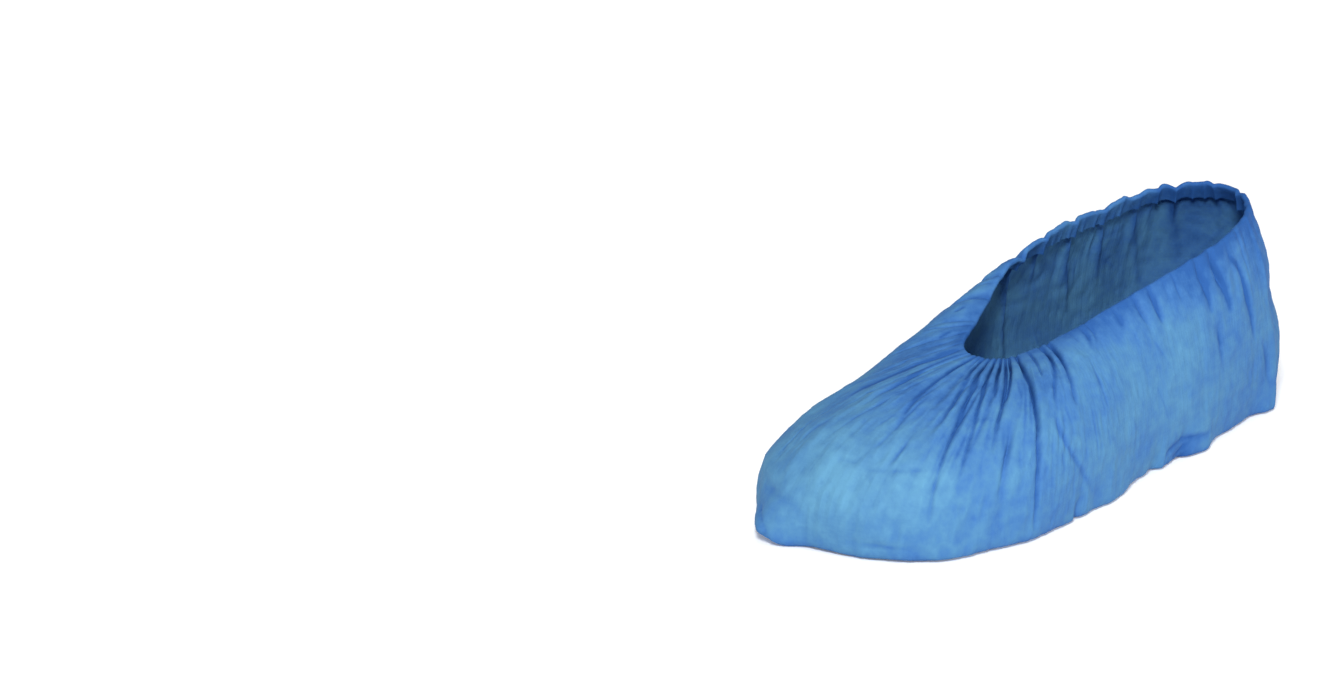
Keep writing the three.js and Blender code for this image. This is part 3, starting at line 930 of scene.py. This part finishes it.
def sole_rings(edge):
    """The sole, from the lower edge in to a straight line along its middle, where both sides meet."""
    along = np.clip(edge[:, 1], SPINE_TOE, SPINE_HEEL)
    spine = np.stack((SPINE_SLOPE * (along - SPINE_HEEL), along, edge[:, 2]), -1)
    rings = []
    for step in range(1, SOLE_STEPS + 1):
        share = step / SOLE_STEPS
        ring = edge + (spine - edge) * share
        wrinkle = 0.5 + 0.5 * lattice_noise(ring / SOLE_WRINKLE["size"], SOLE_WRINKLE["seed"])
        rise = (edge[:, 2] - SOLE_LIFT) * (1 - share) ** SOLE_DROP
        ring[:, 2] = SOLE_LIFT + rise + SOLE_WRINKLE["high"] * wrinkle * math.sin(math.pi * min(share, 0.5))
        rings.append(ring)
    return rings


def hem_profile():
    """Inset and drop of each ring of the hem: up its outside, over its top and down its inside."""
    profile = [(0.0, drop) for drop in (*HEM_OUTSIDE, HEM_ROUND)]
    for turn in HEM_TURNS:
        a = math.radians(turn)
        profile.append((0.5 * HEM_THICK * (1 - math.cos(a)), HEM_ROUND * (1 - math.sin(a))))
    return profile + [(HEM_THICK, drop) for drop in (HEM_ROUND, *HEM_INSIDE, HEM_TALL)]


def hem_share(drop):
    """How much of the wall's sharp lines is left in the hem, at a drop below the rim."""
    return max((drop - HEM_PLAIN) / (HEM_TALL - HEM_PLAIN), 0.0)


def hem_ring(inset, drop, pressed):
    """One ring of the hem, whose top is uneven and folded most of all on the far rim."""
    far = zone(AROUND, FAR_RIM)
    folded = HEM_FOLDED + (1 - HEM_FOLDED) * np.maximum(far, drop / HEM_TALL)
    ring = folded_cloth(AROUND, drop_to_down(AROUND, np.full(COLUMNS, drop)), inset, folded)
    ring += hem_share(drop) * pressed
    uneven = HEM_UNEVEN["high"] * (HEM_CALM + (1 - HEM_CALM) * far) * (1 - drop / HEM_TALL)
    rim = loop_point(GUIDES["rim"], AROUND)
    ring[:, 2] += uneven * lattice_noise(rim / HEM_UNEVEN["size"], HEM_UNEVEN["seed"])
    return ring


def cover_cloth():
    """The bag as one sheet, and how far the sharp lines move the cloth at the hem's foot."""
    wall, pressed, depth, line_shade = wall_rings()
    sole = sole_rings(wall[-1])
    hem = [hem_ring(*place, pressed[0]) for place in hem_profile()]
    piece = ring_mesh("cover_cloth", sole[::-1] + list(wall[::-1]) + hem)
    depths = [depth[-1]] * len(sole) + list((depth + line_shade)[::-1])
    for inset, drop in hem_profile():
        share = hem_share(drop)
        # the hem's top and inside get painted shade
        depths.append(depth[0] + share * line_shade[0] + HEM_PAINTED_SHADE * (1 if inset else 1 - share))
    values = piece.data.attributes.new("tone_and_painted_light", "FLOAT", "POINT").data
    values.foreach_set("value", np.concatenate(depths))
    return piece, pressed[0]


def elastic_ring(pressed):
    front = 0.5 * (HEM_THICK - ELASTIC_THICK)
    back = front + ELASTIC_THICK
    top = HEM_ROUND + ELASTIC_GAP
    foot = top + ELASTIC_TALL
    corners = ((front, foot), (front, top), (back, top), (back, foot))
    return ring_mesh("elastic_ring", [hem_ring(*corner, pressed) for corner in corners], closed=True)


# Materials

def shader(name):
    material = bpy.data.materials.new(name)
    material.use_nodes = True
    tree = material.node_tree
    return material, tree, tree.nodes["Principled BSDF"]


def node(tree, kind, **values):
    made = tree.nodes.new(kind)
    for key, value in values.items():
        if key in made.inputs:
            made.inputs[key].default_value = value
        else:
            setattr(made, key, value)
    return made


def weighted(tree, value, weight, added):
    """value times weight plus added, which is a number or another socket."""
    made = node(tree, "ShaderNodeMath", operation="MULTIPLY_ADD")
    tree.links.new(value, made.inputs[0])
    made.inputs[1].default_value = weight
    if isinstance(added, float):
        made.inputs[2].default_value = added
    else:
        tree.links.new(added, made.inputs[2])
    return made.outputs["Value"]


def colour_ramp(tree, value, stops):
    """Colours along a value from 0 to 1."""
    made = node(tree, "ShaderNodeValToRGB")
    elements = made.color_ramp.elements
    for k, (place, colour) in enumerate(stops):
        element = elements[k] if k < len(elements) else elements.new(place)
        element.position = place
        element.color = (*colour, 1)
    tree.links.new(value, made.inputs["Fac"])
    return made.outputs["Color"]


def cloth_material():
    """Spunbond nonwoven: clouds of uneven colour, bonded points and fine fibres, over a colour depth that
    holds painted shade and a painted highlight.
    """
    material, tree, principled = shader("nonwoven")
    where = node(tree, "ShaderNodeTexCoord")
    cloud = node(tree, "ShaderNodeTexNoise", Scale=38.0, Detail=2.0, Roughness=0.5)
    mottle = node(tree, "ShaderNodeTexNoise", Scale=190.0, Detail=4.0, Roughness=0.6)
    fibre = node(tree, "ShaderNodeTexNoise", Scale=1500.0, Detail=3.0, Roughness=0.6)
    bond = node(tree, "ShaderNodeTexVoronoi", Scale=620.0, Randomness=0.15)
    for texture in (cloud, mottle, fibre, bond):
        tree.links.new(where.outputs["Object"], texture.inputs["Vector"])
    # the mesh's colour depth holds the cloth's tone with painted shade and a painted highlight
    depth = node(tree, "ShaderNodeAttribute", attribute_name="tone_and_painted_light")
    shade = weighted(tree, depth.outputs["Fac"], DEPTH, PALEST - 0.5 * (CLOUDS + MOTTLE))
    shade = weighted(tree, cloud.outputs["Fac"], CLOUDS, shade)
    shade = weighted(tree, mottle.outputs["Fac"], MOTTLE, shade)
    tree.links.new(colour_ramp(tree, shade, CLOTH_RAMP), principled.inputs["Base Color"])
    first = node(tree, "ShaderNodeBump", Strength=0.25, Distance=0.0003)
    second = node(tree, "ShaderNodeBump", Strength=0.2, Distance=0.0003)
    tree.links.new(bond.outputs["Distance"], first.inputs["Height"])
    tree.links.new(fibre.outputs["Fac"], second.inputs["Height"])
    tree.links.new(first.outputs["Normal"], second.inputs["Normal"])
    tree.links.new(second.outputs["Normal"], principled.inputs["Normal"])
    principled.inputs["Roughness"].default_value = 0.72
    principled.inputs["Specular IOR Level"].default_value = 0.12
    return material


def elastic_material():
    """Pale elastic with fine uneven ribs."""
    material, tree, principled = shader("elastic")
    where = node(tree, "ShaderNodeTexCoord")
    rib = node(tree, "ShaderNodeTexNoise", Scale=900.0, Detail=2.0)
    tree.links.new(where.outputs["Object"], rib.inputs["Vector"])
    tree.links.new(colour_ramp(tree, rib.outputs["Fac"], ELASTIC_RAMP), principled.inputs["Base Color"])
    principled.inputs["Roughness"].default_value = 0.6
    return material


def floor_material():
    """A pale floor that glows far from the cover, like a white studio's end wall."""
    material, tree, principled = shader("studio_floor")
    principled.inputs["Base Color"].default_value = FLOOR_COLOUR
    principled.inputs["Emission Color"].default_value = WHITE
    where = node(tree, "ShaderNodeTexCoord")
    far = node(tree, "ShaderNodeVectorMath", operation="LENGTH")
    glow = node(tree, "ShaderNodeMapRange", **FLOOR_GLOW)
    tree.links.new(where.outputs["Object"], far.inputs[0])
    tree.links.new(far.outputs["Value"], glow.inputs["Value"])
    tree.links.new(glow.outputs["Result"], principled.inputs["Emission Strength"])
    principled.inputs["Roughness"].default_value = 0.9
    principled.inputs["Specular IOR Level"].default_value = 0.1
    return material


# Studio

def view_axes():
    """The camera's right, up and back directions."""
    a = math.radians(CAMERA_AZIMUTH)
    e = math.radians(CAMERA_ELEVATION)
    right = Vector((math.cos(a), math.sin(a), 0))
    back = Vector((math.sin(a) * math.cos(e), -math.cos(a) * math.cos(e), math.sin(e)))
    return right, back.cross(right), back


def camera():
    right, up, back = view_axes()
    off_right = (ORIGIN_PIXEL[0] - PHOTO_SIZE[0] / 2) * CAMERA_DISTANCE / FOCAL_PIXELS
    off_up = -(ORIGIN_PIXEL[1] - PHOTO_SIZE[1] / 2) * CAMERA_DISTANCE / FOCAL_PIXELS
    place = back * CAMERA_DISTANCE - right * off_right - up * off_up - Vector(BOX_MIDDLE * MM)
    data = bpy.data.cameras.new("photo_camera")
    data.sensor_fit = "HORIZONTAL"
    data.sensor_width = SENSOR_WIDTH
    data.lens = FOCAL_PIXELS / PHOTO_SIZE[0] * SENSOR_WIDTH
    data.clip_start, data.clip_end = CAMERA_CLIP
    made = placed("photo_camera", data)
    made.matrix_world = Matrix.Translation(place) @ Matrix((right, up, back)).transposed().to_4x4()
    bpy.context.scene.camera = made


def softbox(name, place, size, watts):
    """A round light that faces the middle of the floor."""
    data = bpy.data.lights.new(name, "AREA")
    data.shape = "DISK"
    data.size = size
    data.energy = watts
    made = placed(name, data)
    made.location = place
    made.rotation_euler = (-Vector(place)).to_track_quat("-Z", "Y").to_euler()


def studio():
    mesh = bpy.data.meshes.new("studio_floor")
    corners = [(x * FLOOR_HALF, y * FLOOR_HALF, 0) for x, y in ((-1, -1), (1, -1), (1, 1), (-1, 1))]
    mesh.from_pydata(corners, [], [(0, 1, 2, 3)])
    floor = placed("studio_floor", mesh)
    floor.data.materials.append(floor_material())
    for row in LIGHTS:
        softbox(*row)
    world = bpy.data.worlds.new("studio")
    bpy.context.scene.world = world
    world.use_nodes = True
    background = world.node_tree.nodes["Background"]
    background.inputs["Color"].default_value = WHITE
    background.inputs["Strength"].default_value = SKY_STRENGTH
    bpy.context.scene.view_settings.view_transform = "Standard"


camera()
cover, pressed_hem = cover_cloth()
cover.data.materials.append(cloth_material())
elastic = elastic_ring(pressed_hem)
elastic.data.materials.append(elastic_material())
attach(cover, "root")
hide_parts("cover_body")
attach(elastic, "root")
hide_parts("elastic_band")
studio()
